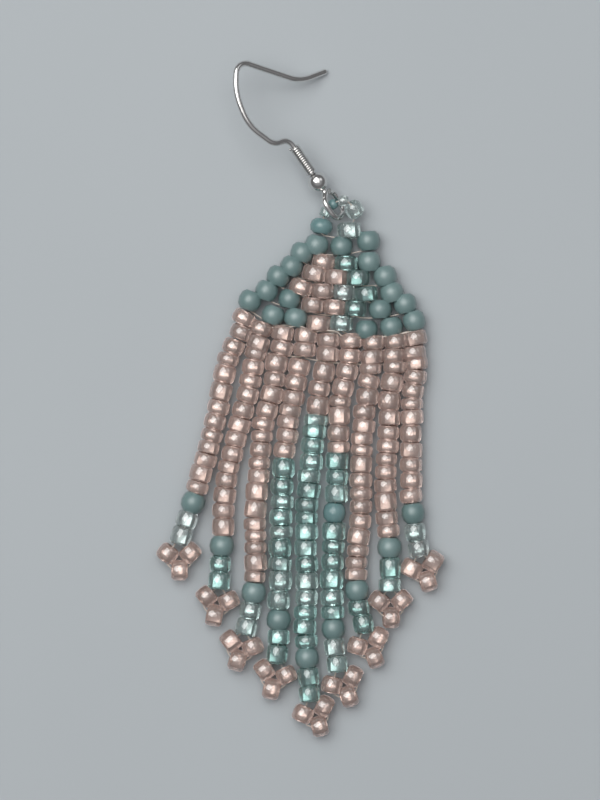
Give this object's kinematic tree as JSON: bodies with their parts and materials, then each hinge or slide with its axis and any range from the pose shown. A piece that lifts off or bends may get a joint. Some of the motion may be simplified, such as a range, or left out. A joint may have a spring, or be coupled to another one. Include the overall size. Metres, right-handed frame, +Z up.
{
  "type": "beaded fringe earring",
  "caption": "Drop earring of seed beads: steel fish hook with coil and ball, small bead loop, brick-stitched triangle, two-bead ladder and a tapered fringe of bead strings ending in picots.",
  "frame": {"origin": "middle of the underside of the earring as it lies face up on a flat surface", "axes": "+Z up from the surface, +Y from the fringe towards the ear wire, +X to the right seen from above"},
  "size_m": [0.0302, 0.071, 0.0062],
  "materials": {
    "steel": "polished surgical steel wire, coil and ball",
    "teal_bead": "opaque grey-teal glass seed beads with a soft satin gloss",
    "pink_bead": "pale pink lustre glass seed beads, slightly see-through",
    "aqua_bead": "clear aqua seed beads with a bright lined hole"
  },
  "bodies": {
    "root": {"ear_wire": "steel", "wire_coil": "steel", "ball_bead": "steel", "hanging_loop": "aqua_bead", "triangle_panel": "teal_bead", "ladder_band": "pink_bead", "string_1_upper": "pink_bead", "string_1_lower": "aqua_bead", "string_2_upper": "pink_bead", "string_2_lower": "aqua_bead", "string_3_upper": "pink_bead", "string_3_lower": "aqua_bead", "string_4_upper": "pink_bead", "string_4_lower": "aqua_bead", "string_5_upper": "pink_bead", "string_5_lower": "aqua_bead", "string_6_upper": "pink_bead", "string_6_lower": "aqua_bead", "string_7_upper": "pink_bead", "string_7_lower": "aqua_bead", "string_8_upper": "pink_bead", "string_8_lower": "aqua_bead", "string_9_upper": "pink_bead", "string_9_lower": "aqua_bead"}
  },
  "joints": []
}
